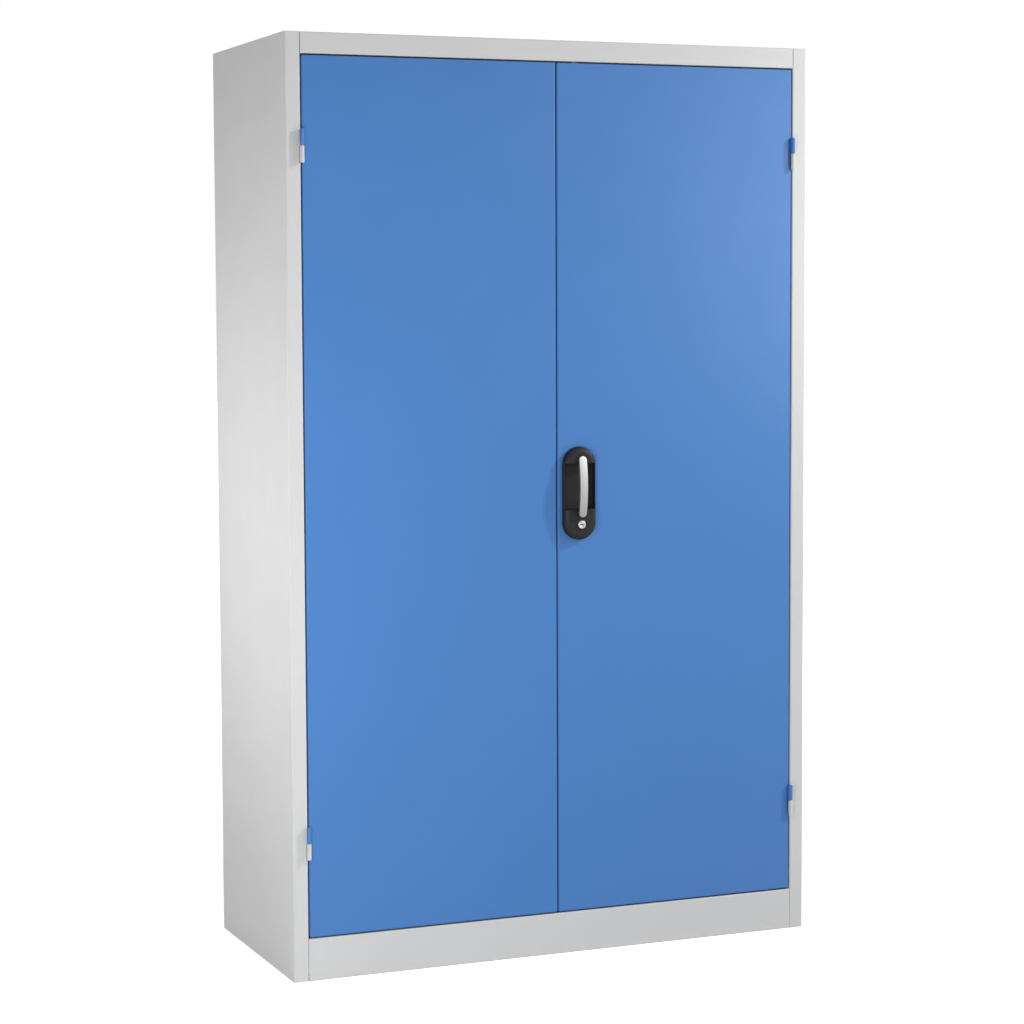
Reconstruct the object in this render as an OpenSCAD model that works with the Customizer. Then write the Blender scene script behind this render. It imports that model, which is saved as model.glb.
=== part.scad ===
// Two-door steel tool cabinet with shelves and a three-point lock behind a bow lever.
// Millimetres: X to the right, Y to the back, Z up. The origin is on the floor, under the body's middle.
// What cuts a solid reaches 1 mm beyond it.

/* [Cabinet] */
// Width over the side panels
body_w = 1200; // [1000:10:1400]
// Depth from the front posts to the back
body_d = 500; // [420:10:600]
// Height from the floor to the roof
body_h = 1950; // [1750:10:2100]

/* [Body sheet] */
// Thickness of the body's sheet
sheet = 1; // [0.8:0.1:1.5]
// Inside radius of a fold
fold_r = 1.5; // [1:0.25:2]
// Seam between panels that meet edge to edge
seam = 0.4; // [0.2:0.1:0.6]
// Width of the flange at the back of a side panel
back_flange = 15; // [10:1:25]
// Depth of the flange that hangs down at the back of the roof
roof_flange = 25; // [15:1:40]

/* [Front frame] */
// Width of a post beside the doors
post_w = 32.5; // [28:0.5:45]
// Height of the rail over the doors
rail_h = 43.5; // [30:0.5:60]
// Height of the plinth under the doors
plinth_h = 88.5; // [60:0.5:120]
// Width of the lips that stop the doors
stop_lip = 15; // [12:1:20]
// Space for the buffers between a closed door and the stop lips
stop_gap = 3; // [2.5:0.25:5]

/* [Doors] */
// Gap around and between the doors
door_gap = 3; // [2.5:0.25:4]
// Depth of a door
door_d = 22; // [21:1:30]
// Thickness of a door's sheet
door_sheet = 1; // [0.8:0.1:1.5]
// Width of the lip folded in behind each edge of a door
door_lip = 16; // [12:1:19]
// Radius of a door's corners, seen from the front
corner_r = 5; // [2.5:0.5:10]
// Width of the channel that stiffens a door
stiffener_w = 60; // [30:5:120]
// Gap between a door buffer and the closed door
buffer_play = 0.3; // [0.2:0.1:0.6]
// Radius of a door buffer
buffer_r = 5; // [3:0.5:6]
// Distance of a buffer from the door's side edge
buffer_inset = 50; // [30:5:100]

/* [Hinges] */
// Radius of a knuckle
knuckle_r = 4.5; // [4:0.25:6]
// Height of a hinge, both halves
hinge_h = 69; // [50:1:100]
// Middle of the lower hinges above the floor
lower_hinge_z = 290; // [200:5:400]
// Middle of the upper hinges below the roof
upper_hinge_drop = 229; // [150:1:350]
// Radius of a hinge pin
pin_r = 2.5; // [2:0.25:3]
// Thickness of a hinge leaf
leaf_t = 2; // [1.5:0.25:2.5]
// Reach of a hinge leaf behind its pin
leaf_l = 23; // [16:1:24]

/* [Shelves] */
// Height of a shelf's edge
shelf_h = 30; // [20:1:45]
// Side play between a shelf and the uprights
shelf_play = 2; // [1.8:0.1:4]
// Width of an upright
upright_w = 30; // [24:1:45]
// Depth of an upright, from the side panel
upright_d = 22; // [16:1:30]
// Distance from one slot to the next
slot_pitch = 25; // [20:1:50]
// Width of a slot
slot_w = 15; // [10:1:18]
// Height of a slot
slot_h = 4; // [3.5:0.25:5]
// Reach of a shelf clip under its shelf
clip_reach = 12; // [8:1:16]

/* [Handle] */
// Distance of the handle's axis from the cabinet's middle
handle_x = 49; // [48:0.5:70]
// Height of the handle plate's middle
plate_z = 994.5; // [850:0.5:1100]
// Width of the handle plate
plate_w = 75; // [75:1:84]
// Length of the handle plate
plate_l = 199; // [195:1:205]
// Height of the plate's caps over the door
plate_h = 17.5; // [15:0.5:20]
// Radius that rounds the caps' edges
plate_edge = 13; // [8:0.5:14]
// Height of the plate's side rims over the door
rim_h = 8; // [6:0.5:10]
// Wall of the plate
plate_wall = 1.5; // [1.25:0.25:2]
// Width of the finger recess
recess_w = 71; // [60:0.5:71]
// Length of the finger recess
recess_l = 99.5; // [80:0.5:100]
// Depth of the recess behind the door's face
recess_d = 3; // [2:0.25:6]
// Radius between the recess's floor and its sides
recess_r = 7; // [3:0.5:8]
// Slope of the recess's lower end, over its whole depth
recess_slope = 3.5; // [1:0.5:6]
// Length of the lever
lever_l = 130; // [126:0.5:131]
// Width of the lever
lever_w = 17; // [14:0.5:19]
// Thickness of the lever
lever_t = 6; // [4:0.25:7]
// Rise of the lever's bow
lever_bow = 7.5; // [4:0.25:10]
// Height of the lever's middle over the plate's middle
lever_up = 15; // [13:0.25:16]
// Gap between the lever's ends and the plate's caps
lever_play = 0.6; // [0.4:0.1:1.2]

/* [Lock] */
// Depth of the lock rods behind the door's face
rod_in_y = 14; // [11:0.5:14.5]
// Width of a lock rod
rod_w = 12; // [10:0.5:13]
// Thickness of a lock rod
rod_t = 4; // [3:0.25:4.5]
// Module of the rack and pinion
tooth_m = 2; // [1.8:0.05:2.05]
// Radius of the spindle
spindle_r = 4; // [3.5:0.25:4.5]
// Thickness of the tongue
tongue_t = 3; // [2:0.25:4]
// Width of the tongue
tongue_w = 16; // [12:0.5:20]
// Radius of the lock barrel
barrel_r = 8.5; // [8:0.25:9]
// Radius of the key plug
plug_r = 5.5; // [5:0.25:6]
// Distance of the key's axis below the lever's lower end
key_drop = 16; // [15.5:0.5:17]
// Height of the barrel's face over the plate
barrel_out = 3; // [1:0.5:4]
// Thickness of a keeper plate
keeper_t = 2; // [1.5:0.25:3]

/* [Hidden] */
$fn = 48;

// Colours
body_grey = [0.80, 0.80, 0.79];
door_blue = [0.29, 0.47, 0.75];
zinc = [0.72, 0.73, 0.74];
black = [0.10, 0.10, 0.10];
silver = [0.82, 0.82, 0.82];

// Faces of the body
side = body_w / 2;
front = -body_d / 2;
back = body_d / 2;
half_sheet = sheet / 2;
wall_top = body_h - sheet;

// Opening for the doors
open_x = side - post_w;
open_z0 = plinth_h;
open_z1 = body_h - rail_h;
stop_y = front + door_d + stop_gap;
floor_z = open_z0 + stop_lip;
notch_play = 0.5;

// Doors, closed
door_x0 = door_gap / 2;
door_x1 = open_x - door_gap;
door_z0 = open_z0 + door_gap;
door_z1 = open_z1 - door_gap;
door_back = front + door_d;
skin_in = front + door_sheet;
stiffener_x = (door_x0 + door_x1) / 2;
stiffener_foot = 15;
stiffener_end = 25;
stiffener_back = 3;

// Hinges: the pins stand in front of the gap beside each door
hinge_out = knuckle_r + 0.8;
hinge_x = open_x - door_gap / 2;
hinge_y = front - hinge_out;
upper_hinge_z = body_h - upper_hinge_drop;
half_hinge = hinge_h / 2;
leaf_x = door_gap / 2 + sheet;
door_leaf_x = door_gap / 2 + door_sheet;
knuckle_gap = 0.3;
knuckle_end = 1.2;
knuckle_floor = 5;
leaf_inset = 2;
pin_end = 1;
pin_play = 0.05;
seat_play = 0.02;

// Base and back
base_lip = post_w + 12;
wing_y = stop_y + sheet + seam;
wing_lap = 5;
back_y = back - 2 * sheet;
wall_hole_r = 4.5;
wall_hole_in = 100;
wall_hole_x = side - wall_hole_in;
wall_hole_z = body_h - wall_hole_in;
keeper_side = 14;
keeper_front = 8;
keeper_back = 1;

// Uprights and shelves
upright_foot = 8;
upright_half = upright_w / 2 + upright_foot;
upright_front = 2;
upright_back = 6;
front_upright_y = stop_y + sheet + upright_front + upright_half;
rear_upright_y = back_y - upright_back - upright_half;
web_x = side - sheet - upright_d;
slots_low = 46.5;
slots_high = 60;
first_slot_z = floor_z + slots_low;
slot_count = floor((wall_top - slots_high - first_slot_z) / slot_pitch);
shelves = 4;
shelf_x = web_x - shelf_play;
shelf_front = 21.5;
shelf_back = 8;
shelf_y0 = stop_y + shelf_front;
shelf_y1 = back_y - shelf_back;
shelf_lip = 12;
shelf_cut = shelf_lip / 2;
clip_play = 0.3;
clip_t = slot_h - 1.6;
clip_w = slot_w - 2;
clip_hook = 1.6;
clip_up = 2;

// Handle
lever_z = plate_z + lever_up;
pivot_z = lever_z + lever_l / 2 - lever_w / 2;
key_z = lever_z - lever_l / 2 - key_drop;
recess_y = front + recess_d;
boss_wall = 2.5;
spindle_hole_play = 2;
lever_edge = 1.6;
lever_facets = 180;
tub_play = 0.3;
tub_x = recess_w / 2 - recess_r + sqrt(pow(recess_r + plate_wall, 2) - pow(recess_r - recess_d, 2));
tub_l = recess_l + 2 * plate_wall;

// Lock: the rods run behind the recess, the tongue behind both doors' lips
box_wall = 1.3;
box_lid = 1.8;
slide_play = 0.2;
rod_y0 = front + rod_in_y;
rod_y1 = rod_y0 + rod_t;
box_y0 = rod_y0 - slide_play - box_wall;
box_y1 = rod_y1 + slide_play + box_lid;
hub_l = 3;
tongue_play = 1.5;
tongue_y0 = max(box_y1 + hub_l, door_back + tongue_play);
tongue_y1 = tongue_y0 + tongue_t;
tongue_l = handle_x + door_gap / 2 + door_lip - tongue_play;
tap_r = 2;
tap_l = 12;
tongue_head_r = spindle_r + 3;
tongue_head_h = 2.5;

// Rack and pinion: twelve stub teeth, so that a quarter turn moves three teeth
teeth = 12;
tooth_angle = 25;
addendum = 0.8 * tooth_m;
dedendum = tooth_m;
backlash = 0.3;
pitch_r = teeth * tooth_m / 2;
tooth_pitch = PI * tooth_m;
throw = PI / 2 * pitch_r;
rod_in = pitch_r + dedendum;
rod_out = rod_in + rod_w;
tip_play = 0.3;
channel_x0 = pitch_r - addendum - tip_play;
channel_x1 = rod_out + tip_play;
box_side = 2;
box_foot = 4.4;
box_x = channel_x1 + box_side;
box_down = pitch_r + addendum + box_foot;
spacer_r = 4;
screw_x = 6;
screw_r = 2.5;
screw_in = 7;
screw_head_r = 4.5;
screw_head_h = 2.4;
screw_over_pinion = 6.4;
screw_under_barrel = 10.5;
screw_up = pitch_r + addendum + screw_over_pinion;
screw_down = barrel_r + screw_under_barrel;
box_up = screw_up + 6;
jog_gap = 2;
rod_tip_gap = 0.5;
upper_tip = open_z1 - rod_tip_gap;
lower_tip = open_z0 + rod_tip_gap;
guide_h = 20;
guide_wall = 4;
guide_ear = 8;
guide_t = 2.5;
guide_end = 60;
guide_under_key = 160;
guide_over_lever = 200;
slot_play = 1.5;

// Key: the cam turns into one of two notches in the lower rod
cam_w = 5;
cam_bite = 2;
cam_play = 0.3;
cam_reach = rod_in + cam_bite;
cam_sweep = sqrt(pow(cam_reach, 2) + pow(cam_w / 2, 2));
notch_h = cam_w / 2 + 2 * cam_play + sqrt(pow(cam_sweep, 2) - pow(rod_in, 2));
key_jog = 25;
barrel_y0 = front - plate_h - barrel_out;
barrel_y1 = rod_y0 - 2;
plug_in = 0.3;
tail_r = 3;
cam_hub_wall = 2;
cam_tap_r = 1.5;
cam_tap_l = 8;
cam_head_r = tail_r + 1.5;
cam_head_h = 2;
keyway_w = 7.6;
keyway_h = 1.8;
keyway_l = 16;
clip_plate_t = 1.5;
clip_plate_w = 4;

// ---- Helpers ----

// Block between two corners
module slab(lo, hi) {
  translate(lo) cube(hi - lo);
}

// Mirrors its children to the right-hand side when right is true
module hand(right) {
  mirror([right ? 1 : 0, 0, 0]) children();
}

// Extrudes a section drawn in Y and Z along X, from -l/2 to l/2
module along_x(l) {
  rotate([90, 0, 90]) linear_extrude(l, center = true) children();
}

// Extrudes a section drawn in X and Z from y0 to y1
module along_y(y0, y1) {
  translate([0, y1, 0]) rotate([90, 0, 0]) linear_extrude(y1 - y0) children();
}

// Cylinder along Y, from y0 to y1
module rod_y(r, y0, y1) {
  along_y(y0, y1) circle(r);
}

function unit(v) = v / norm(v);

// Quarter ring of a fold, in the quadrant that q points to
module fold(q, t) {
  r = fold_r;
  intersection() {
    difference() {
      circle(r + t);
      circle(r);
    }
    translate([q.x < 0 ? -r - t : 0, q.y < 0 ? -r - t : 0]) square(r + t);
  }
}

// Section of sheet t thick, folded square along its middle line p
module folded(p, t = sheet) {
  last = len(p) - 2;
  m = fold_r + t / 2;
  for (i = [0:last]) {
    d = unit(p[i + 1] - p[i]);
    a = p[i] + (i > 0 ? m : 0) * d;
    b = p[i + 1] - (i < last ? m : 0) * d;
    across = [abs(d.y), abs(d.x)] * t / 2;
    lo = [min(a.x, b.x), min(a.y, b.y)] - across;
    hi = [max(a.x, b.x), max(a.y, b.y)] + across;
    translate(lo) square(hi - lo);
    if (i > 0) {
      e = unit(p[i] - p[i - 1]);
      translate(p[i] - m * e + m * d) fold(e - d, t);
    }
  }
}

// Rectangle from lo to hi with rounded corners
module round_rect(lo, hi, r) {
  translate([lo.x + r, lo.y]) square([hi.x - lo.x - 2 * r, hi.y - lo.y]);
  translate([lo.x, lo.y + r]) square([hi.x - lo.x, hi.y - lo.y - 2 * r]);
  for (x = [lo.x + r, hi.x - r], y = [lo.y + r, hi.y - r]) translate([x, y]) circle(r);
}

// Rectangle w wide and l long with half-round ends, centred
module stadium_2d(w, l) {
  square([w, l - w], center = true);
  for (s = [-1, 1]) translate([0, s * (l - w) / 2]) circle(w / 2);
}

// Cylinder whose top edge is chamfered by c
module capped(r, h, c) {
  cylinder(r = r, h = h - c);
  translate([0, 0, h - c]) cylinder(r1 = r, r2 = r - c, h = c);
}

// ---- Body ----

function hinge_zs() = [lower_hinge_z, upper_hinge_z];

module side_panel(right) {
  line = [
    [-side + back_flange, back - half_sheet], [-side + half_sheet, back - half_sheet],
    [-side + half_sheet, front + half_sheet], [-open_x - half_sheet, front + half_sheet],
    [-open_x - half_sheet, stop_y + half_sheet], [-open_x + stop_lip, stop_y + half_sheet]
  ];
  fold_depth = sheet + fold_r + notch_play;
  color(body_grey) hand(right) difference() {
    linear_extrude(wall_top) folded(line);
    // the stop lip ends clear of the base and of the roof's rail
    for (z = [[-1, floor_z + seam], [open_z1 - stop_lip - seam, body_h]])
      slab([-open_x, stop_y - 5, z[0]], [-open_x + stop_lip + 1, stop_y + 5, z[1]]);
    // notches for the hinge leaves
    for (z = hinge_zs())
      slab([-hinge_x - leaf_x - leaf_t - notch_play, front - 1, z - half_hinge + leaf_inset / 2],
           [-open_x + 1, front + fold_depth, z - leaf_inset / 2]);
  }
}

module roof_panel() {
  line = [
    [back - half_sheet, body_h - roof_flange], [back - half_sheet, body_h - half_sheet],
    [front + half_sheet, body_h - half_sheet], [front + half_sheet, open_z1 + half_sheet],
    [stop_y + half_sheet, open_z1 + half_sheet], [stop_y + half_sheet, open_z1 - stop_lip]
  ];
  rail_x = open_x - seam;
  color(body_grey) difference() {
    union() {
      along_x(2 * rail_x) folded(line);
      for (right = [false, true]) hand(right) {
        slab([-side, front, wall_top], [-rail_x, back, body_h]);
        slab([-rail_x, front + sheet + fold_r, wall_top], [-rail_x + wing_lap, back - sheet - fold_r, body_h]);
      }
    }
    keeper_slot(open_z1 - 1, open_z1 + sheet + 1);
  }
}

module base_panel() {
  line = [
    [front + base_lip, half_sheet], [front + half_sheet, half_sheet],
    [front + half_sheet, open_z0 - half_sheet], [stop_y + half_sheet, open_z0 - half_sheet],
    [stop_y + half_sheet, floor_z - half_sheet], [back_y - half_sheet, floor_z - half_sheet],
    [back_y - half_sheet, half_sheet], [back_y - base_lip, half_sheet]
  ];
  rail_x = open_x - seam;
  wing = [
    [-side + sheet + base_lip, half_sheet], [-side + sheet + half_sheet, half_sheet],
    [-side + sheet + half_sheet, floor_z - half_sheet], [-rail_x + wing_lap, floor_z - half_sheet]
  ];
  color(body_grey) difference() {
    union() {
      along_x(2 * rail_x) folded(line);
      for (right = [false, true]) hand(right) along_y(wing_y, back_y - sheet - fold_r) folded(wing);
    }
    keeper_slot(open_z0 - sheet - 1, open_z0 + 1);
  }
}

module back_panel() {
  color(body_grey) difference() {
    slab([-side + sheet + fold_r, back_y, seam], [side - sheet - fold_r, back - sheet, wall_top - fold_r]);
    for (s = [-1, 1]) translate([s * wall_hole_x, 0, wall_hole_z]) rod_y(wall_hole_r, back_y - 1, back);
  }
}

// Slot through which a lock rod enters the frame
module keeper_slot(z0, z1) {
  slab([handle_x - rod_w / 2 - slot_play, rod_y0 - slot_play, z0],
       [handle_x + rod_w / 2 + slot_play, rod_y1 + slot_play, z1]);
}

module keeper(z0) {
  color(zinc) difference() {
    slab([handle_x - rod_w / 2 - keeper_side, rod_y0 - keeper_front, z0],
         [handle_x + rod_w / 2 + keeper_side, stop_y - keeper_back, z0 + keeper_t]);
    keeper_slot(z0 - 1, z0 + keeper_t + 1);
  }
}

module door_buffers() {
  // one near each end of each door, on the upper and the lower stop lip
  xs = [door_x0 + buffer_inset, door_x1 - buffer_inset];
  zs = [floor_z - stop_lip / 2, open_z1 - stop_lip / 2];
  color(black) for (s = [-1, 1], x = xs, z = zs)
    translate([s * x, 0, z]) rod_y(buffer_r, door_back + buffer_play, stop_y);
}

// ---- Uprights and shelves ----

function slot_z(i) = first_slot_z + i * slot_pitch;

module upright(right, y) {
  x_foot = -side + sheet + half_sheet;
  x_web = -web_x - half_sheet;
  w = upright_w / 2;
  line = [
    [x_foot, y - upright_half], [x_foot, y - w], [x_web, y - w],
    [x_web, y + w], [x_foot, y + w], [x_foot, y + upright_half]
  ];
  color(body_grey) hand(right) difference() {
    translate([0, 0, floor_z]) linear_extrude(wall_top - floor_z) folded(line);
    for (i = [0:slot_count - 1])
      slab([-web_x - sheet - 1, y - slot_w / 2, slot_z(i) - slot_h / 2],
           [-web_x + 1, y + slot_w / 2, slot_z(i) + slot_h / 2]);
  }
}

// The shelves hang on slots that share the height evenly, counted from below
function shelf_slot(n) = round(n * slot_count / (shelves + 1));
function clip_top(n) = slot_z(shelf_slot(n)) + clip_t / 2;
function shelf_top(n) = clip_top(n) + shelf_h;

module shelf(n) {
  top = shelf_top(n);
  low = top - shelf_h;
  line = [
    [shelf_y0 + shelf_lip, low + half_sheet], [shelf_y0 + half_sheet, low + half_sheet],
    [shelf_y0 + half_sheet, top - half_sheet], [shelf_y1 - half_sheet, top - half_sheet],
    [shelf_y1 - half_sheet, low + half_sheet], [shelf_y1 - shelf_lip, low + half_sheet]
  ];
  color(body_grey) {
    along_x(2 * shelf_x) folded(line);
    for (right = [false, true]) hand(right)
      slab([-shelf_x, shelf_y0 + shelf_cut, low], [-shelf_x + sheet, shelf_y1 - shelf_cut, top - half_sheet]);
  }
}

// Clip with a ledge under the shelf and a hook behind the upright's web
module shelf_clip(z) {
  hook_x = -web_x - sheet - clip_play;
  w = clip_w / 2;
  slab([hook_x - clip_hook, -w, z - clip_t], [-shelf_x + clip_reach, w, z]);
  slab([hook_x - clip_hook, -w, z - clip_t], [hook_x, w, z + slot_h + clip_up]);
}

module shelf_clips(n) {
  color(zinc) for (right = [false, true], y = [front_upright_y, rear_upright_y])
    hand(right) translate([0, y, 0]) shelf_clip(clip_top(n));
}

// ---- Hinges ----

module frame_hinge(right, z) {
  color(body_grey) hand(right) translate([-hinge_x, hinge_y, z]) difference() {
    union() {
      mirror([0, 0, 1]) capped(knuckle_r, half_hinge, knuckle_end);
      slab([-leaf_x - leaf_t, 0, leaf_inset - half_hinge], [-leaf_x, leaf_l, -leaf_inset]);
    }
    translate([0, 0, knuckle_floor - half_hinge]) cylinder(r = pin_r + seat_play, h = half_hinge);
  }
}

module hinge_pin(right, z) {
  color(zinc) hand(right) translate([-hinge_x, hinge_y, z + knuckle_floor - half_hinge])
    capped(pin_r, hinge_h - 2 * knuckle_floor - pin_end, pin_end);
}

module door_hinge(right, z) {
  color(door_blue) hand(right) translate([-hinge_x, hinge_y, z]) difference() {
    union() {
      translate([0, 0, knuckle_gap]) capped(knuckle_r, half_hinge - knuckle_gap, knuckle_end);
      slab([door_leaf_x, 0, leaf_inset], [door_leaf_x + leaf_t, leaf_l, half_hinge - leaf_inset]);
    }
    cylinder(r = pin_r + pin_play, h = half_hinge - knuckle_floor);
  }
}

// ---- Doors ----

// Plain door: a pan with rounded front edges and corners, and a lip folded in behind
module door_block(inset) {
  r = fold_r + door_sheet - inset;
  x0 = door_x0 + inset;
  x1 = door_x1 - inset;
  z0 = door_z0 + inset;
  z1 = door_z1 - inset;
  y0 = front + inset;
  y1 = door_back - inset;
  intersection() {
    translate([0, 0, z0]) linear_extrude(z1 - z0) front_rounded([x0, y0], [x1, y1], r);
    translate([(x0 + x1) / 2, 0, 0]) along_x(x1 - x0) side_rounded([y0, z0], [y1, z1], r);
    along_y(y0, y1) round_rect([x0, z0], [x1, z1], corner_r - inset);
  }
}

// Rectangle whose two corners at the least Y are rounded
module front_rounded(lo, hi, r) {
  translate([lo.x, lo.y + r]) square([hi.x - lo.x, hi.y - lo.y - r]);
  translate([lo.x + r, lo.y]) square([hi.x - lo.x - 2 * r, r + 1]);
  for (x = [lo.x + r, hi.x - r]) translate([x, lo.y + r]) circle(r);
}

// The same, drawn with Y across and Z up
module side_rounded(lo, hi, r) {
  translate([lo.x + r, lo.y]) square([hi.x - lo.x - r, hi.y - lo.y]);
  translate([lo.x, lo.y + r]) square([r + 1, hi.y - lo.y - 2 * r]);
  for (y = [lo.y + r, hi.y - r]) translate([lo.x + r, y]) circle(r);
}

module door_panel(right) {
  fold_depth = door_sheet + fold_r + notch_play;
  difference() {
    door_block(0);
    door_block(door_sheet);
    slab([door_x0 + door_lip, door_back - door_sheet - 1, door_z0 + door_lip],
         [door_x1 - door_lip, door_back + 1, door_z1 - door_lip]);
    // notches for the hinge leaves
    for (z = hinge_zs())
      slab([hinge_x - door_leaf_x - leaf_t - notch_play, front - 1, z + leaf_inset / 2],
           [door_x1 + 1, front + fold_depth, z + half_hinge - leaf_inset / 2]);
  }
}

module left_door_panel() {
  color(door_blue) hand(true) door_panel();
}

module right_door_panel() {
  color(door_blue) difference() {
    door_panel();
    // openings behind the handle plate
    along_y(front - 1, skin_in + 1) translate([handle_x, 0]) {
      translate([0, lever_z]) square([2 * (tub_x + tub_play), tub_l + 2 * tub_play], center = true);
      translate([0, pivot_z]) circle(spindle_r + spindle_hole_play);
      translate([0, key_z]) circle(barrel_r + tub_play);
      for (p = screw_places()) translate(p) circle(screw_r + tub_play);
    }
    // slots for the rods in the lower and the upper edge
    for (z = [door_z0, door_z1]) keeper_slot(z - door_sheet - 1, z + door_sheet + 1);
  }
}

module stiffener(right) {
  w = stiffener_w / 2;
  foot_y = skin_in + door_sheet / 2;
  cap_y = door_back - stiffener_back - door_sheet / 2;
  line = [
    [-w - stiffener_foot, foot_y], [-w, foot_y], [-w, cap_y],
    [w, cap_y], [w, foot_y], [w + stiffener_foot, foot_y]
  ];
  color(door_blue) hand(!right) translate([stiffener_x, 0, door_z0 + stiffener_end])
    linear_extrude(door_z1 - door_z0 - 2 * stiffener_end) folded(line, door_sheet);
}

// ---- Handle plate ----

// Places of the plate's screws, as X from the handle's axis and Z
function screw_places() = [
  [-screw_x, pivot_z + screw_up], [screw_x, pivot_z + screw_up], [0, key_z - screw_down]
];

// Right half of the section of the plate's caps, inset by t, with the plate's middle at X = 0
module half_section(t) {
  w = plate_w / 2 - t;
  h = plate_h - t;
  e = plate_edge - t;
  translate([0, -t / 2]) {
    square([w - e, h + t / 2]);
    square([w, h - e + t / 2]);
  }
  intersection() {
    translate([w - e, h - e]) circle(e);
    square([w, h]);
  }
}

// Stadium with rounded edges standing up in Z, its length along Y, inset by t
module pad(t) {
  straight = (plate_l - plate_w) / 2;
  for (s = [0, 1]) mirror([s, 0, 0]) rotate([90, 0, 0]) linear_extrude(2 * straight, center = true) half_section(t);
  for (a = [0, 180]) rotate(a) translate([0, straight, 0]) rotate_extrude(angle = 180) half_section(t);
}

// Puts what stands up in Z on the door's face, with its Y going up
module on_door(z) {
  translate([handle_x, front, z]) rotate([90, 0, 0]) children();
}

// Finger recess, outset by t: its sides curve into its floor and its lower end slopes
module recess(t) {
  y0 = front - plate_h - 1;
  y1 = recess_y + t;
  w = recess_w / 2 + t;
  r = recess_r + t;
  slope = recess_slope / (recess_d + plate_h);
  lip_z = lever_z - recess_l / 2 - t;
  intersection() {
    translate([handle_x, 0, 0]) linear_extrude(body_h) {
      translate([-w, y0]) square([2 * w, y1 - r - y0]);
      translate([r - w, y0]) square([2 * (w - r), y1 - y0]);
      for (s = [-1, 1]) translate([s * (w - r), y1 - r]) circle(r);
      // over the side rims the recess is as wide as the plate
      translate([-plate_w, y0]) square([2 * plate_w, plate_h - rim_h + 1 - t]);
    }
    translate([handle_x, 0, 0]) along_x(3 * plate_w)
      polygon([[y0, lip_z - slope], [y1, lip_z + slope * (y1 - y0 - 1)],
               [y1, lever_z + recess_l / 2 + t], [y0, lever_z + recess_l / 2 + t]]);
  }
}

module handle_plate() {
  color(black) difference() {
    union() {
      on_door(plate_z) difference() {
        pad(0);
        pad(plate_wall);
      }
      // tub of the recess and bosses, all within the plate's outline
      intersection() {
        union() {
          on_door(plate_z) pad(plate_wall / 2);
          slab([handle_x - tub_x, front - 1, lever_z - tub_l / 2],
               [handle_x + tub_x, recess_y + plate_wall, lever_z + tub_l / 2]);
        }
        union() {
          recess(plate_wall);
          translate([handle_x, 0, pivot_z]) rod_y(spindle_r + boss_wall, front - plate_h, front);
          translate([handle_x, 0, key_z]) rod_y(barrel_r + boss_wall, front - plate_h, front);
          for (p = screw_places()) translate([handle_x + p.x, 0, p.y])
            rod_y(screw_r + boss_wall, front - plate_h, front);
        }
      }
    }
    recess(0);
    translate([handle_x, 0, pivot_z]) rod_y(spindle_r + pin_play, front - plate_h - 1, front + 1);
    translate([handle_x, 0, key_z]) rod_y(barrel_r + seat_play, front - plate_h - 1, front + 1);
    for (p = screw_places()) translate([handle_x + p.x, 0, p.y])
      rod_y(screw_r + seat_play, front - screw_in - 0.5, front + 1);
  }
}

// Screw with a hexagon socket, with its tip at y_tip and its head behind y_head
module screw(r, y_tip, y_head, head_r, head_h) {
  rod_y(r, y_tip, y_head + 0.1);
  difference() {
    rod_y(head_r, y_head, y_head + head_h);
    along_y(y_head + head_h / 2, y_head + head_h + 1) circle(r = 0.38 * head_r, $fn = 6);
  }
}

module plate_screws() {
  color(zinc) for (i = [0:2]) {
    p = screw_places()[i];
    translate([handle_x + p.x, 0, p.y])
      screw(screw_r, front - screw_in, i < 2 ? box_y1 : skin_in, screw_head_r, screw_head_h);
  }
}

// ---- Lock ----

module gearbox() {
  color(zinc) translate([handle_x, 0, pivot_z]) difference() {
    union() {
      slab([-box_x, box_y0, -box_down], [box_x, box_y1, box_up]);
      for (s = [-1, 1]) translate([s * screw_x, 0, screw_up]) rod_y(spacer_r, skin_in, box_y0 + 1);
    }
    for (right = [false, true]) hand(right)
      slab([-channel_x1, rod_y0 - slide_play, -box_down - 1], [-channel_x0, rod_y1 + slide_play, box_up + 1]);
    rod_y(pitch_r + addendum + tip_play, rod_y0 - slide_play, rod_y1 + slide_play);
    rod_y(spindle_r + pin_play, box_y0 - 1, box_y1 + 1);
    for (s = [-1, 1]) translate([s * screw_x, 0, screw_up]) rod_y(screw_r + seat_play, skin_in - 1, box_y1 + 1);
  }
}

// Point of an involute on a base circle of radius rb, unrolled by t degrees
function involute(rb, t) = rb * [cos(t) + t * PI / 180 * sin(t), sin(t) - t * PI / 180 * cos(t)];
function turned(p, a) = [p.x * cos(a) - p.y * sin(a), p.x * sin(a) + p.y * cos(a)];

base_r = pitch_r * cos(tooth_angle);
tip_unroll = sqrt(pow((pitch_r + addendum) / base_r, 2) - 1) * 180 / PI;
flank_start = 90 / teeth + tan(tooth_angle) * 180 / PI - tooth_angle - backlash / 2 / pitch_r * 180 / PI;
flank_steps = 5;

// One side of a tooth that points along X, from root to tip
function flank() = concat(
  [turned([pitch_r - dedendum, 0], -flank_start)],
  [for (i = [0:flank_steps]) turned(involute(base_r, tip_unroll * i / flank_steps), -flank_start)]
);

function tooth() = let (f = flank()) concat(f, [for (i = [len(f) - 1:-1:0]) [f[i].x, -f[i].y]]);

module pinion() {
  color(zinc) translate([handle_x, 0, pivot_z]) difference() {
    along_y(rod_y0, rod_y1) polygon([for (k = [0:teeth - 1]) each [for (p = tooth()) turned(p, k * 360 / teeth)]]);
    rod_y(spindle_r + seat_play, rod_y0 - 1, rod_y1 + 1);
  }
}

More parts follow.
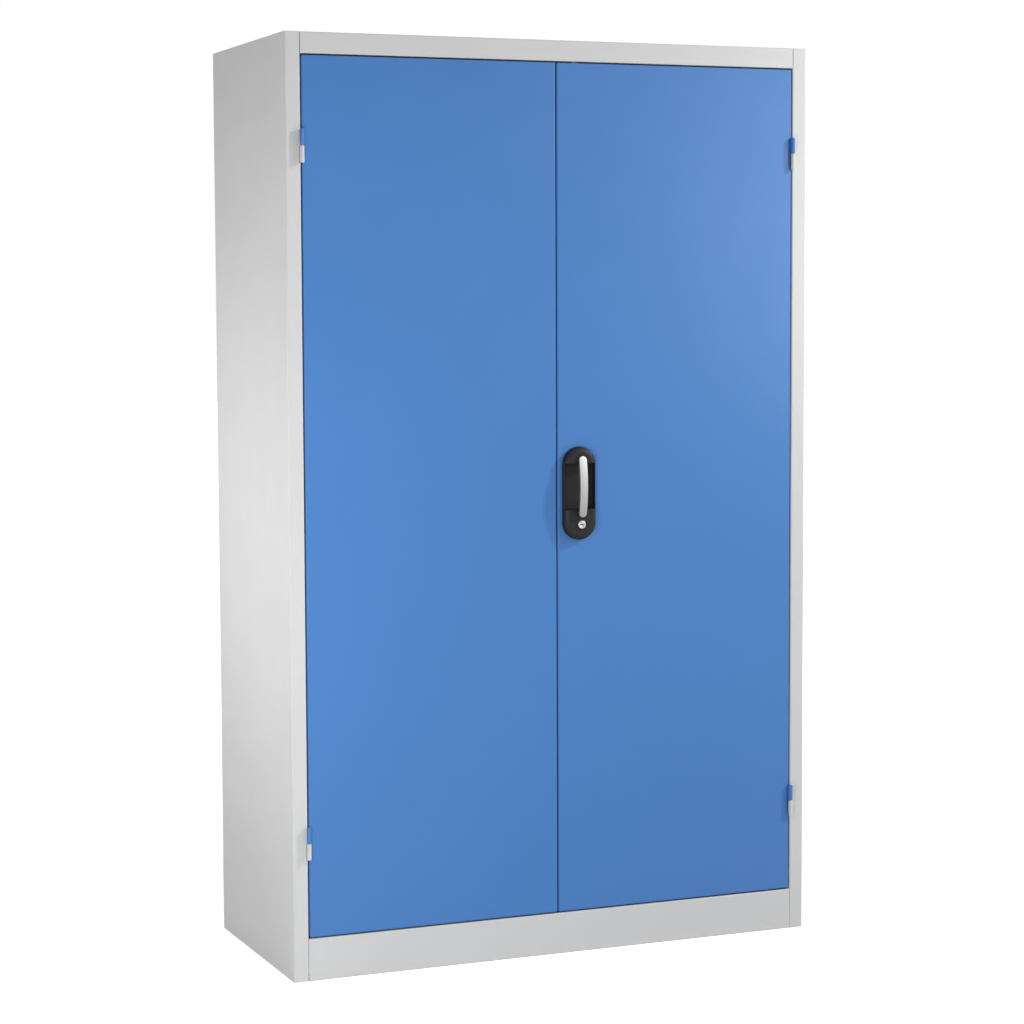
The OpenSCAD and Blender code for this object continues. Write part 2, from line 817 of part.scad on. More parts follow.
// Rack teeth that point to -X from the line x = rod_in, for the gaps between tooth numbers a and b
function rack(a, b) = [
  for (k = [a:b]) each [
    [rod_in, (k + 0.5) * tooth_pitch - rack_half(-dedendum)],
    [pitch_r - addendum, (k + 0.5) * tooth_pitch - rack_half(addendum)],
    [pitch_r - addendum, (k + 0.5) * tooth_pitch + rack_half(addendum)],
    [rod_in, (k + 0.5) * tooth_pitch + rack_half(-dedendum)]
  ]
];

// Half the thickness of a rack tooth, h beyond the pitch line
function rack_half(h) = tooth_pitch / 4 - backlash / 4 - h * tan(tooth_angle);

// Flat rod beside the pinion that steps over to the pinion's middle line, drawn upwards from the pivot.
// a and b are its rack's first and last tooth; tip, its end; jog, where it steps over
module rod_2d(a, b, tip, jog) {
  step = rod_in + rod_w / 2;
  polygon(concat(rack(a, b), [
    [rod_in, jog], [rod_in - step, jog + step], [-rod_w / 2, tip],
    [rod_w / 2, tip], [rod_w / 2, jog + step], [rod_out, jog], [rod_out, a * tooth_pitch]
  ], [[rod_in, a * tooth_pitch]]));
}

module upper_rod() {
  color(zinc) translate([handle_x, 0, pivot_z]) along_y(rod_y0, rod_y1)
    rod_2d(-5, 1, upper_tip - pivot_z, box_up + jog_gap);
}

// The lower rod is the upper one turned over, with two notches for the key's cam
module lower_rod() {
  jog = pivot_z - key_z + key_jog;
  color(zinc) difference() {
    translate([handle_x, 0, pivot_z]) rotate([0, 180, 0]) along_y(rod_y0, rod_y1)
      rod_2d(-5, 1, pivot_z - lower_tip, jog);
    for (up = [0, throw])
      translate([handle_x - rod_in, 0, key_z - cam_w / 2 - cam_play + up])
        slab([-cam_bite - 0.5, rod_y0 - 1, 0], [5, rod_y1 + 1, notch_h]);
  }
}

module rod_guides() {
  w = rod_w / 2 + tip_play;
  h = guide_h / 2;
  wide = w + guide_wall + guide_ear;
  zs = [door_z0 + guide_end, key_z - guide_under_key, pivot_z + guide_over_lever, door_z1 - guide_end];
  color(black) for (z = zs) translate([handle_x, 0, z]) difference() {
    union() {
      slab([-w - guide_wall, skin_in, -h], [w + guide_wall, rod_y1 + slide_play + guide_t, h]);
      slab([-wide, skin_in, -h], [wide, skin_in + guide_t, h]);
    }
    slab([-w, rod_y0 - slide_play, -h - 1], [w, rod_y1 + slide_play, h + 1]);
    slab([-w, skin_in + guide_t, -h - 1], [w, rod_y0 - slide_play - guide_t, h + 1]);
  }
}

module tongue() {
  w = tongue_w / 2;
  color(zinc) translate([handle_x, 0, pivot_z]) difference() {
    union() {
      rod_y(spindle_r + boss_wall, box_y1 + tip_play, tongue_y1);
      along_y(tongue_y0, tongue_y1) {
        circle(w + 1);
        translate([-w, 0]) square([tongue_w, tongue_l - w]);
        translate([0, tongue_l - w]) circle(w);
      }
    }
    rod_y(spindle_r + seat_play, box_y1, tongue_y1 + 1);
  }
}

module spindle() {
  y0 = front - plate_h - lever_play - lever_t / 2;
  color(zinc) translate([handle_x, 0, pivot_z]) difference() {
    rod_y(spindle_r, y0, tongue_y1);
    rod_y(tap_r, tongue_y1 - tap_l, tongue_y1 + 1);
  }
}

module tongue_screw() {
  color(zinc) translate([handle_x, 0, pivot_z])
    screw(tap_r - seat_play, tongue_y1 - tap_l + 1, tongue_y1, tongue_head_r, tongue_head_h);
}

module lever() {
  low = front - plate_h - lever_play;
  chord = lever_l / 2;
  bow_r = (chord * chord + lever_bow * lever_bow) / (2 * lever_bow);
  swing = asin(chord / bow_r) + 2;
  color(silver) difference() {
    intersection() {
      translate([handle_x, low - lever_bow + bow_r, lever_z]) rotate([90, 0, -90]) rotate(-swing)
        rotate_extrude(angle = 2 * swing, $fn = lever_facets)
          round_rect([bow_r, -lever_w / 2], [bow_r + lever_t, lever_w / 2], lever_edge);
      along_y(low - 3 * lever_bow - lever_t, low + 1) translate([handle_x, lever_z]) stadium_2d(lever_w, lever_l);
    }
    translate([handle_x, 0, pivot_z]) rod_y(spindle_r + seat_play, low - lever_t / 2 - 0.2, low + lever_t);
  }
}

// ---- Key ----

module lock_barrel() {
  color(silver) translate([handle_x, 0, key_z]) difference() {
    rod_y(barrel_r, barrel_y0, barrel_y1);
    rod_y(plug_r + pin_play, barrel_y0 - 1, barrel_y1 + 1);
  }
}

// Spring clip pushed on the barrel from above, behind the door's skin
module barrel_clip() {
  w = barrel_r + seat_play;
  color(zinc) translate([handle_x, 0, key_z]) difference() {
    rod_y(barrel_r + clip_plate_w, skin_in, skin_in + clip_plate_t);
    rod_y(w, skin_in - 1, skin_in + clip_plate_t + 1);
    slab([-w, skin_in - 1, -barrel_r - clip_plate_w - 1], [w, skin_in + clip_plate_t + 1, 0]);
  }
}

module key_plug() {
  color(silver) translate([handle_x, 0, key_z]) difference() {
    union() {
      rod_y(plug_r, barrel_y0 + plug_in, barrel_y1);
      rod_y(tail_r, barrel_y1 - 1, rod_y1);
    }
    slab([-keyway_w / 2, barrel_y0 - 1, -keyway_h / 2], [keyway_w / 2, barrel_y0 + keyway_l, keyway_h / 2]);
    rod_y(cam_tap_r, rod_y1 - cam_tap_l, rod_y1 + 1);
  }
}

module key_cam() {
  color(zinc) translate([handle_x, 0, key_z]) difference() {
    union() {
      rod_y(tail_r + cam_hub_wall, barrel_y1 + slide_play, rod_y1);
      slab([-cam_w / 2, rod_y0 + 0.1, 0], [cam_w / 2, rod_y1, cam_reach]);
    }
    rod_y(tail_r + seat_play, barrel_y1 - 1, rod_y1 + 1);
  }
}

module cam_screw() {
  color(zinc) translate([handle_x, 0, key_z])
    screw(cam_tap_r - seat_play, rod_y1 - cam_tap_l + 1, rod_y1, cam_head_r, cam_head_h);
}

// ---- What is drawn ----

side_panel(false);  // left_side_panel
side_panel(true);  // right_side_panel
roof_panel();
base_panel();
back_panel();
upright(false, front_upright_y);  // front_left_upright
upright(true, front_upright_y);  // front_right_upright
upright(false, rear_upright_y);  // rear_left_upright
upright(true, rear_upright_y);  // rear_right_upright
shelf(1);  // shelf_1
shelf(2);  // shelf_2
shelf(3);  // shelf_3
shelf(4);  // shelf_4
shelf_clips(1);  // shelf_1_clips
shelf_clips(2);  // shelf_2_clips
shelf_clips(3);  // shelf_3_clips
shelf_clips(4);  // shelf_4_clips
frame_hinge(false, upper_hinge_z);  // upper_left_frame_hinge
frame_hinge(false, lower_hinge_z);  // lower_left_frame_hinge
frame_hinge(true, upper_hinge_z);  // upper_right_frame_hinge
frame_hinge(true, lower_hinge_z);  // lower_right_frame_hinge
hinge_pin(false, upper_hinge_z);  // upper_left_hinge_pin
hinge_pin(false, lower_hinge_z);  // lower_left_hinge_pin
hinge_pin(true, upper_hinge_z);  // upper_right_hinge_pin
hinge_pin(true, lower_hinge_z);  // lower_right_hinge_pin
door_buffers();
keeper(open_z1 + sheet);  // upper_keeper
keeper(open_z0 - sheet - keeper_t);  // lower_keeper
left_door_panel();
stiffener(false);  // left_door_stiffener
door_hinge(false, upper_hinge_z);  // upper_left_door_hinge
door_hinge(false, lower_hinge_z);  // lower_left_door_hinge
right_door_panel();
stiffener(true);  // right_door_stiffener
door_hinge(true, upper_hinge_z);  // upper_right_door_hinge
door_hinge(true, lower_hinge_z);  // lower_right_door_hinge
handle_plate();
plate_screws();
gearbox();
rod_guides();
lock_barrel();
barrel_clip();
lever();
spindle();
pinion();
tongue();
tongue_screw();
upper_rod();
lower_rod();
key_plug();
key_cam();
cam_screw();
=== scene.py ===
"""Two-door steel tool cabinet: finishes, lever, rounded hinges and studio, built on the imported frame."""

import math

import bmesh
import bpy
from bpy.props import FloatProperty, FloatVectorProperty, PointerProperty
from mathutils import Matrix, Vector


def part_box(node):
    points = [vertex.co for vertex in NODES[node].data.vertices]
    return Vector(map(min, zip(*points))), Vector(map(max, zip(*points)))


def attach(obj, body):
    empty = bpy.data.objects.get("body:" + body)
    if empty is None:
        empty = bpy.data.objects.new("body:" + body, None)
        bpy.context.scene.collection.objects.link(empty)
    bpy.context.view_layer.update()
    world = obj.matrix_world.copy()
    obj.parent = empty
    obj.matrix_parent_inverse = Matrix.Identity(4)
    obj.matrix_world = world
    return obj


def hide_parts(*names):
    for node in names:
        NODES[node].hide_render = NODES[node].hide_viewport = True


bl_info = {
    "name": "Tool Cabinet Finishes",
    "version": (1, 0, 0),
    "blender": (4, 5, 0),
    "location": "View3D > Sidebar > Cabinet",
    "description": "Paints and finishes a two-door steel tool cabinet and sets it in a plain studio",
    "category": "Object",
}

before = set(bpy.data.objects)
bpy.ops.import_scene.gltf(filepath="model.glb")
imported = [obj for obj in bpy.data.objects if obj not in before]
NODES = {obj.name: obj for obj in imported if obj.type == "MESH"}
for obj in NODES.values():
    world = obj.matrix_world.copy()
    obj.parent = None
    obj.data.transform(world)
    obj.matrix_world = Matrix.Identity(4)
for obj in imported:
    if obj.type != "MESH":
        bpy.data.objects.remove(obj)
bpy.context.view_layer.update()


# ---- Which nodes carry which finish ----

BODY_PAINTED = [
    "left_side_panel", "right_side_panel", "roof_panel", "base_panel", "back_panel",
    "upper_left_frame_hinge", "lower_left_frame_hinge", "upper_right_frame_hinge", "lower_right_frame_hinge",
]
DOOR_PAINTED = [
    "left_door_panel", "right_door_panel", "left_door_stiffener", "right_door_stiffener",
    "upper_left_door_hinge", "lower_left_door_hinge", "upper_right_door_hinge", "lower_right_door_hinge",
]
GALVANISED = [
    "front_left_upright", "front_right_upright", "rear_left_upright", "rear_right_upright",
    "shelf_1", "shelf_2", "shelf_3", "shelf_4",
]
ZINC_PLATED = [
    "shelf_1_clips", "shelf_2_clips", "shelf_3_clips", "shelf_4_clips",
    "upper_left_hinge_pin", "lower_left_hinge_pin", "upper_right_hinge_pin", "lower_right_hinge_pin",
    "upper_keeper", "lower_keeper", "plate_screws", "gearbox", "barrel_clip", "spindle", "pinion",
    "tongue", "tongue_screw", "upper_rod", "lower_rod", "key_cam", "cam_screw",
]
NICKEL_PLATED = ["lock_barrel", "key_plug"]
BLACK_MOULDED = ["handle_plate", "rod_guides"]
RUBBER_MADE = ["door_buffers"]
HINGE_PLACES = ("upper_left", "lower_left", "upper_right", "lower_right")


# ---- Finishes, with sizes in metres ----

# crystal and grain: size of the pattern; change: difference of roughness between crystals;
# relief: height of the pattern; rounding: radius with which edges catch the light
GALVANISED_SHEET = {"crystal": 0.011, "roughness": 0.42, "change": 0.09, "relief": 0.00006, "rounding": 0.0003}
ZINC_PLATE = {"crystal": 0.0016, "roughness": 0.34, "change": 0.05, "relief": 0.00004, "rounding": 0.0003}
NICKEL_PLATE = {"crystal": 0.0009, "roughness": 0.38, "change": 0.04, "relief": 0.00001, "rounding": 0.0022}
LEVER_CASTING = {"crystal": 0.0008, "roughness": 0.50, "change": 0.04, "relief": 0.00002, "rounding": 0.0003}
BLACK_MOULDING = {"grain": 0.0007, "roughness": 0.54, "relief": 0.00005}
RUBBER_SKIN = {"grain": 0.0009, "roughness": 0.75, "relief": 0.00006}

PAINT_RELIEF = 0.00012
BODY_ROUNDING = 0.0006
DOOR_ROUNDING = 0.0016
MOULD_ROUNDING = 0.0022

# Wear along edges: width of the worn strip and strength of its colour
PAINT_WEAR = {"edge_width": 0.0012, "wear": 0.10}
METAL_WEAR = {"edge_width": 0.0008, "wear": 0.5}
MOULD_WEAR = {"edge_width": 0.0010, "wear": 0.3}

BODY_EDGE_COLOUR = (0.88, 0.88, 0.87, 1)
DOOR_EDGE_COLOUR = (0.25, 0.42, 0.72, 1)

# Gains on a finish's own colour
PAINT_PALE = 1.06
METAL_DULL = 0.80
METAL_EDGE = 1.25
MOULD_DUST = 1.5
MOULD_EDGE = 2.2
# painted shade: gain to which the lever's colour is darkened at its lower end
LEVER_PAINTED_SHADE_LOW = 0.62

PAINT_SPECULAR = 0.38
MOULD_SPECULAR = 0.22

# Range that most values of a noise texture fall in
NOISE_LOW, NOISE_HIGH = 0.3, 0.7
BEVEL_SAMPLES = 4


# ---- Shapes, in metres and radians ----

# Points nearer than this are one point
TOUCH = 1e-5
# Faces that meet at less than this lie in one plane
FLAT = math.radians(1)
# Reach of a knuckle's end, which holds its chamfer, and clear radius around its pin
KNUCKLE_END = 0.0013
PIN_CLEAR = 0.003
# Angles between the faces at a chamfer's rims, and at a square rim
CHAMFER_RIM = (math.radians(30), math.radians(60))
SQUARE_RIM = (math.radians(60), math.radians(100))
# Edges sharper than this stay sharp on a hinge
HINGE_SHARP = math.radians(35)


# ---- Studio, in metres and degrees ----

# Name, setting that holds the power, place, aim, width and height of each lamp
LAMPS = [
    ("Key Lamp", "key_power", (3.95, -1.99, 3.70), (0.0, -0.25, 1.0), 0.25, 0.25),
    ("Right Softbox", "right_power", (1.35, -1.25, 1.6), (0.55, -0.25, 1.45), 0.5, 0.9),
    ("Left Softbox", "left_power", (-1.3, -1.5, 0.9), (-0.5, -0.25, 0.9), 0.6, 1.2),
    ("Side Softbox", "side_power", (-1.5, 0.12, 1.0), (-0.6, 0.1, 1.0), 0.4, 0.6),
    ("Back Softbox", "back_power", (1.2, 4.2, 2.6), (0.0, 0.2, 1.0), 2.5, 2.0),
]

FLOOR_RADIUS = 30.0
FLOOR_SEGMENTS = 96
# The floor's glow near the cabinet, as the camera and as mirrors see it, rises to white between two distances
CAMERA_GLOW = 0.40
MIRROR_GLOW = 0.1
GLOW_START, GLOW_END = 0.9, 5.0

CAMERA_PLACE = (-2.1998, -5.0733, 1.4064)
CAMERA_YAW, CAMERA_PITCH, CAMERA_ROLL = 21.4761, -4.2244, -0.3867
CAMERA_SHIFT = (0.085, -0.0264)
# Focal length and sensor width, in millimetres
CAMERA_LENS = 87.747
CAMERA_SENSOR = 36.0


# ---- Settings ----

class CabinetPaint(bpy.types.PropertyGroup):
    """Colours and texture of the powder coat"""
    body_colour: FloatVectorProperty(
        name="Body Colour", description="Light grey of the body", subtype="COLOR",
        size=3, min=0.0, max=1.0, default=(0.50, 0.50, 0.498))
    door_colour: FloatVectorProperty(
        name="Door Colour", description="Blue of the doors", subtype="COLOR",
        size=3, min=0.0, max=1.0, default=(0.045, 0.158, 0.408))
    grain_size: FloatProperty(
        name="Grain Size", description="Size of the powder coat's orange peel", subtype="DISTANCE", unit="LENGTH",
        min=0.0005, max=0.01, default=0.0022)
    roughness: FloatProperty(
        name="Roughness", description="How matt the paint is", subtype="FACTOR",
        min=0.1, max=1.0, default=0.42)


class CabinetMetal(bpy.types.PropertyGroup):
    """Colours of the bare and plated metal"""
    galvanised_colour: FloatVectorProperty(
        name="Galvanised Colour", description="Colour of the shelves and uprights", subtype="COLOR",
        size=3, min=0.0, max=1.0, default=(0.42, 0.435, 0.445))
    zinc_colour: FloatVectorProperty(
        name="Zinc Colour", description="Colour of the plated lock parts, pins and clips", subtype="COLOR",
        size=3, min=0.0, max=1.0, default=(0.44, 0.45, 0.465))
    lever_colour: FloatVectorProperty(
        name="Lever Colour", description="Colour of the die-cast lever", subtype="COLOR",
        size=3, min=0.0, max=1.0, default=(0.50, 0.50, 0.495))
    nickel_colour: FloatVectorProperty(
        name="Nickel Colour", description="Colour of the key cylinder", subtype="COLOR",
        size=3, min=0.0, max=1.0, default=(0.50, 0.49, 0.475))


class CabinetHinge(bpy.types.PropertyGroup):
    """Rounding of the hinges' knuckles; their sizes and places are the frame's"""
    rim: FloatProperty(
        name="Rim", description="Radius of the rim where a knuckle meets its other half", subtype="DISTANCE",
        unit="LENGTH", min=0.0003, max=0.0018, default=0.0014)
    tip: FloatProperty(
        name="Tip", description="Rounding of the chamfer at a knuckle's outer end", subtype="DISTANCE",
        unit="LENGTH", min=0.0001, max=0.0008, default=0.0007)


class CabinetLever(bpy.types.PropertyGroup):
    """Section of the cast lever; its length, width and place are the frame's"""
    thickness: FloatProperty(
        name="Thickness", description="Thickness of the lever", subtype="DISTANCE", unit="LENGTH",
        min=0.004, max=0.007, default=0.006)
    bow: FloatProperty(
        name="Bow", description="Height of the lever's bow over its ends", subtype="DISTANCE", unit="LENGTH",
        min=0.004, max=0.010, default=0.0075)
    edge: FloatProperty(
        name="Edge", description="Radius of the lever's rounded edges", subtype="DISTANCE", unit="LENGTH",
        min=0.0005, max=0.0028, default=0.0022)


class CabinetPlastic(bpy.types.PropertyGroup):
    """Colours of the moulded parts"""
    plate_colour: FloatVectorProperty(
        name="Plate Colour", description="Black of the handle plate and rod guides", subtype="COLOR",
        size=3, min=0.0, max=1.0, default=(0.010, 0.010, 0.0104))
    rubber_colour: FloatVectorProperty(
        name="Rubber Colour", description="Black of the door buffers", subtype="COLOR",
        size=3, min=0.0, max=1.0, default=(0.018, 0.018, 0.018))


class CabinetStudio(bpy.types.PropertyGroup):
    """Lamps and floor of the studio"""
    sky: FloatProperty(
        name="Ambient Light", description="Strength of the even light from all around",
        min=0.0, max=2.0, default=0.31)
    key_power: FloatProperty(
        name="Key Lamp", description="Power of the small lamp at the upper right", subtype="POWER", unit="POWER",
        min=0.0, max=500.0, default=180.0)
    right_power: FloatProperty(
        name="Right Softbox", description="Power of the softbox at the right", subtype="POWER", unit="POWER",
        min=0.0, max=1000.0, default=8.5)
    left_power: FloatProperty(
        name="Left Softbox", description="Power of the softbox at the left, in front", subtype="POWER",
        unit="POWER", min=0.0, max=1000.0, default=18.8)
    side_power: FloatProperty(
        name="Side Softbox", description="Power of the softbox beside the left panel", subtype="POWER",
        unit="POWER", min=0.0, max=1000.0, default=6.0)
    back_power: FloatProperty(
        name="Back Softbox", description="Power of the softbox behind the cabinet", subtype="POWER",
        unit="POWER", min=0.0, max=1000.0, default=85.0)
    floor_colour: FloatVectorProperty(
        name="Floor Colour", description="Colour of the studio floor", subtype="COLOR",
        size=3, min=0.0, max=1.0, default=(0.85, 0.85, 0.85))


# ---- Node helpers ----

class Tree:
    """Adds nodes to a node tree, linked or set by socket name."""

    def __init__(self, tree):
        self.tree = tree

    def link(self, source, target):
        self.tree.links.new(source, target)

    def fill(self, socket, value):
        """Links the value to the socket where it is one, and sets it there otherwise."""
        if isinstance(value, bpy.types.NodeSocket):
            self.link(value, socket)
        else:
            socket.default_value = value

    def add(self, kind, values=None, **settings):
        node = self.tree.nodes.new(kind)
        for name, value in settings.items():
            setattr(node, name, value)
        for name, value in (values or {}).items():
            self.fill(node.inputs[name], value)
        return node

    def math(self, operation, a, b=0.0, clamp=False):
        return self.add("ShaderNodeMath", {0: a, 1: b}, operation=operation, use_clamp=clamp).outputs[0]

    def mix(self, factor, a, b, blend="MIX"):
        # sockets 6, 7 and output 2 are the node's colour ones
        node = self.add("ShaderNodeMix", {0: factor}, data_type="RGBA", blend_type=blend)
        self.fill(node.inputs[6], a)
        self.fill(node.inputs[7], b)
        return node.outputs[2]

    def grey(self, value):
        values = {"Red": value, "Green": value, "Blue": value}
        return self.add("ShaderNodeCombineColor", values).outputs["Color"]

    def remap(self, value, low, high, to_low, to_high):
        node = self.add("ShaderNodeMapRange", {"Value": value, "From Min": low, "From Max": high,
                                               "To Min": to_low, "To Max": to_high})
        return node.outputs["Result"]

    def spread(self, noise, to_low, to_high):
        """The usual range of a noise texture, stretched between two values."""
        return self.remap(noise, NOISE_LOW, NOISE_HIGH, to_low, to_high)

    def place(self):
        return self.add("ShaderNodeTexCoord").outputs["Object"]

    def noise(self, place, scale, detail, **more):
        node = self.add("ShaderNodeTexNoise", {"Vector": place, "Scale": scale, "Detail": detail, **more})
        return node.outputs["Fac"]


def new_group(name, inputs, outputs):
    """A shader node group with the given sockets, and its Tree, input sockets and output node."""
    group = bpy.data.node_groups.new(name, "ShaderNodeTree")
    for label, kind, value in inputs:
        socket = group.interface.new_socket(label, in_out="INPUT", socket_type=kind)
        socket.default_value = value
    for label, kind in outputs:
        group.interface.new_socket(label, in_out="OUTPUT", socket_type=kind)
    tree = Tree(group)
    return group, tree, tree.add("NodeGroupInput").outputs, tree.add("NodeGroupOutput").inputs


FLOAT, COLOUR = "NodeSocketFloat", "NodeSocketColor"
SKIN_OUTPUTS = [("Colour", COLOUR), ("Roughness", FLOAT), ("Height", FLOAT)]


def edge_group():
    """Mask that is 1 on sharp outer edges and 0 on flat faces, broken up by fine noise."""
    if "Worn Edges" in bpy.data.node_groups:
        return bpy.data.node_groups["Worn Edges"]
    group, t, given, result = new_group(
        "Worn Edges", [("Width", FLOAT, 0.0015), ("Break Up", FLOAT, 120.0)], [("Mask", FLOAT)])
    bevel = t.add("ShaderNodeBevel", {"Radius": given["Width"]}, samples=BEVEL_SAMPLES)
    flat = t.add("ShaderNodeNewGeometry").outputs["Normal"]
    dot = t.add("ShaderNodeVectorMath", {0: bevel.outputs["Normal"], 1: flat}, operation="DOT_PRODUCT")
    edge = t.remap(dot.outputs["Value"], low=0.995, high=0.80, to_low=0.0, to_high=1.0)
    chips = t.noise(t.place(), given["Break Up"], 3.0)
    rough = t.remap(chips, low=0.42, high=0.60, to_low=0.0, to_high=1.0)
    t.link(t.math("MULTIPLY", edge, rough, clamp=True), result["Mask"])
    return group


def powder_group():
    """Powder coat: slight drift of tone, orange peel height and roughness."""
    if "Powder Coat" in bpy.data.node_groups:
        return bpy.data.node_groups["Powder Coat"]
    group, t, given, result = new_group(
        "Powder Coat",
        [("Colour", COLOUR, (0.8, 0.8, 0.8, 1)), ("Pale Colour", COLOUR, (0.9, 0.9, 0.9, 1)),
         ("Grain", FLOAT, 0.002), ("Roughness", FLOAT, 0.4)],
        SKIN_OUTPUTS)
    place = t.place()
    drift = t.spread(t.noise(place, 1.7, 4.0, Roughness=0.55), 0.0, 0.5)
    speck = t.remap(t.noise(place, 950.0, 1.0), low=0.45, high=0.75, to_low=0.0, to_high=0.35)
    pale = t.math("ADD", drift, speck, clamp=True)
    t.link(t.mix(pale, given["Colour"], given["Pale Colour"]), result["Colour"])
    peel = t.noise(place, t.math("DIVIDE", 1.0, given["Grain"]), 2.0, Roughness=0.5)
    t.link(peel, result["Height"])
    change = t.spread(t.noise(place, 9.0, 5.0, Roughness=0.6), -0.05, 0.07)
    t.link(t.math("ADD", given["Roughness"], change, clamp=True), result["Roughness"])
    return group


def metal_group():
    """Metal skin: crystals or fine grain in tone, roughness and height."""
    if "Metal Skin" in bpy.data.node_groups:
        return bpy.data.node_groups["Metal Skin"]
    group, t, given, result = new_group(
        "Metal Skin",
        [("Colour", COLOUR, (0.6, 0.6, 0.6, 1)), ("Dull Colour", COLOUR, (0.4, 0.4, 0.4, 1)),
         ("Crystal Size", FLOAT, 0.012), ("Roughness", FLOAT, 0.35), ("Change", FLOAT, 0.12)],
        SKIN_OUTPUTS)
    place = t.place()
    scale = t.math("DIVIDE", 1.0, given["Crystal Size"])
    cells = t.add("ShaderNodeTexVoronoi", {"Vector": place, "Scale": scale, "Randomness": 1.0})
    crystal = t.add("ShaderNodeSeparateColor", {"Color": cells.outputs["Color"]}).outputs["Red"]
    cloud = t.spread(t.noise(place, 6.0, 5.0, Roughness=0.6), 0.3, 1.0)
    dull = t.math("MULTIPLY", crystal, cloud, clamp=True)
    t.link(t.mix(dull, given["Colour"], given["Dull Colour"]), result["Colour"])
    change = t.math("MULTIPLY", t.remap(crystal, 0.0, 1.0, to_low=-1.0, to_high=1.0), given["Change"])
    t.link(t.math("ADD", given["Roughness"], change, clamp=True), result["Roughness"])
    height = t.math("ADD", t.noise(place, 420.0, 3.0), t.math("MULTIPLY", crystal, 0.4))
    t.link(height, result["Height"])
    return group


def grain_group():
    """Fine moulded grain of plastic and rubber: height, roughness and a little dust tone."""
    if "Moulded Grain" in bpy.data.node_groups:
        return bpy.data.node_groups["Moulded Grain"]
    group, t, given, result = new_group(
        "Moulded Grain",
        [("Colour", COLOUR, (0.03, 0.03, 0.03, 1)), ("Dust Colour", COLOUR, (0.07, 0.07, 0.07, 1)),
         ("Grain", FLOAT, 0.0007), ("Roughness", FLOAT, 0.45)],
        SKIN_OUTPUTS)
    place = t.place()
    scale = t.math("DIVIDE", 1.0, given["Grain"])
    pits = t.add("ShaderNodeTexVoronoi", {"Vector": place, "Scale": scale}, feature="SMOOTH_F1")
    cloud = t.noise(place, 45.0, 5.0, Roughness=0.6)
    dust = t.remap(cloud, low=0.45, high=0.8, to_low=0.0, to_high=0.6)
    t.link(t.mix(dust, given["Colour"], given["Dust Colour"]), result["Colour"])
    t.link(t.math("ADD", given["Roughness"], t.spread(cloud, -0.06, 0.08), clamp=True), result["Roughness"])
    t.link(pits.outputs["Distance"], result["Height"])
    return group


# ---- Materials ----

def rgba(colour, gain=1.0):
    """Four-value colour, lightened or darkened by gain."""
    return tuple(min(1.0, c * gain) for c in colour) + (1.0,)


def new_material(name):
    """A material with its Tree and its Principled shader."""
    material = bpy.data.materials.new(name)
    material.use_nodes = True
    return material, Tree(material.node_tree), material.node_tree.nodes["Principled BSDF"]


def wire_skin(tree, shader, skin, edge_colour, relief, rounding, edge_width, wear):
    """Joins a skin group to the shader: colour with worn edges, roughness, relief and rounded edges."""
    edges = tree.add("ShaderNodeGroup", {"Width": edge_width}, node_tree=edge_group())
    mask = tree.math("MULTIPLY", edges.outputs["Mask"], wear)
    tree.link(tree.mix(mask, skin.outputs["Colour"], edge_colour), shader.inputs["Base Color"])
    tree.link(skin.outputs["Roughness"], shader.inputs["Roughness"])
    rounded = tree.add("ShaderNodeBevel", {"Radius": rounding}, samples=BEVEL_SAMPLES)
    bump = tree.add("ShaderNodeBump", {"Strength": 1.0, "Distance": relief, "Height": skin.outputs["Height"],
                                       "Normal": rounded.outputs["Normal"]})
    tree.link(bump.outputs["Normal"], shader.inputs["Normal"])


def paint_material(name, colour, settings, edge_colour, rounding):
    """Satin powder coat on sheet steel."""
    material, tree, shader = new_material(name)
    values = {"Colour": rgba(colour), "Pale Colour": rgba(colour, PAINT_PALE),
              "Grain": settings.grain_size, "Roughness": settings.roughness}
    skin = tree.add("ShaderNodeGroup", values, node_tree=powder_group())
    wire_skin(tree, shader, skin, edge_colour, PAINT_RELIEF, rounding, **PAINT_WEAR)
    shader.inputs["Specular IOR Level"].default_value = PAINT_SPECULAR
    return material


def metal_material(name, colour, crystal, roughness, change, relief, rounding):
    """Galvanised, zinc-plated, nickel-plated or die-cast metal."""
    material, tree, shader = new_material(name)
    values = {"Colour": rgba(colour), "Dull Colour": rgba(colour, METAL_DULL),
              "Crystal Size": crystal, "Roughness": roughness, "Change": change}
    skin = tree.add("ShaderNodeGroup", values, node_tree=metal_group())
    wire_skin(tree, shader, skin, rgba(colour, METAL_EDGE), relief, rounding, **METAL_WEAR)
    shader.inputs["Metallic"].default_value = 1.0
    return material


def moulded_material(name, colour, grain, roughness, relief):
    """Black moulded plastic or rubber."""
    material, tree, shader = new_material(name)
    values = {"Colour": rgba(colour), "Dust Colour": rgba(colour, MOULD_DUST),
              "Grain": grain, "Roughness": roughness}
    skin = tree.add("ShaderNodeGroup", values, node_tree=grain_group())
    wire_skin(tree, shader, skin, rgba(colour, MOULD_EDGE), relief, MOULD_ROUNDING, **MOULD_WEAR)
    shader.inputs["Specular IOR Level"].default_value = MOULD_SPECULAR
    return material


def paint_shade_downwards(material, low, high, gain):
    """Painted shade: darkens a metal's colour towards its lower end, from full colour at the height high to gain at
    low.
    """
    tree = Tree(material.node_tree)
    socket = material.node_tree.nodes["Principled BSDF"].inputs["Base Color"]
    height = tree.add("ShaderNodeSeparateXYZ", {"Vector": tree.place()}).outputs["Z"]
    level = tree.remap(height, low, high, gain, 1.0)
    shade = tree.mix(1.0, socket.links[0].from_socket, tree.grey(level), "MULTIPLY")
    tree.link(shade, socket)


def dress(names, material):
    """Puts the material on these CAD nodes."""
    for name in names:
        mesh = NODES[name].data
        mesh.materials.clear()
        mesh.materials.append(material)


# ---- Shapes ----

